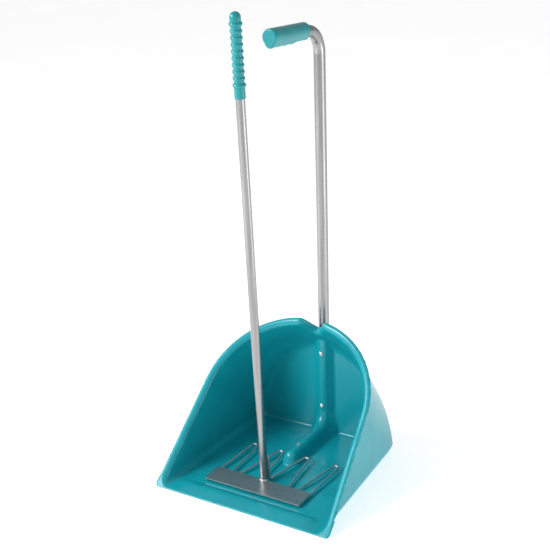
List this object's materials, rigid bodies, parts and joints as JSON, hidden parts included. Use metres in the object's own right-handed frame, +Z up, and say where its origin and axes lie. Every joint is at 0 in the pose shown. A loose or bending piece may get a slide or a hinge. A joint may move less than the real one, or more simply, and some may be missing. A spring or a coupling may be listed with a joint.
{
  "type": "dust pan and rake set",
  "caption": "Hooded standing scoop with a cranked tube handle, and an upright wire-tined rake with a flat blade standing in it.",
  "frame": {"origin": "on the ground, at the middle of the set's width and depth", "axes": "+Z up; +X to the right when looking into the pan's mouth; +Y towards the pan's back wall and upright handle"},
  "size_m": [0.3774, 0.3504, 0.8885],
  "materials": {
    "pan_plastic": "moulded polypropylene, glossy turquoise",
    "grip_plastic": "soft moulded plastic, turquoise",
    "galvanised_tube": "bright zinc-plated steel tube",
    "blade_steel": "satin flat steel",
    "wire_steel": "bright steel wire",
    "rivet_aluminium": "plain aluminium",
    "weld": "bright weld metal"
  },
  "bodies": {
    "pan": {"scoop_shell": "pan_plastic", "scoop_tube": "galvanised_tube", "scoop_grip": "grip_plastic", "rivet_bodies": "rivet_aluminium", "rivet_mandrels": "wire_steel"},
    "rake": {"rake_tube": "galvanised_tube", "rake_grip": "grip_plastic", "rake_blade": "blade_steel", "rake_tines": "wire_steel", "rake_welds": "weld"}
  },
  "joints": [
    {"name": "rake_lift", "type": "slide", "parent": "pan", "child": "rake", "axis": [0, 0, 1], "range_m": [0, 0.35]}
  ]
}
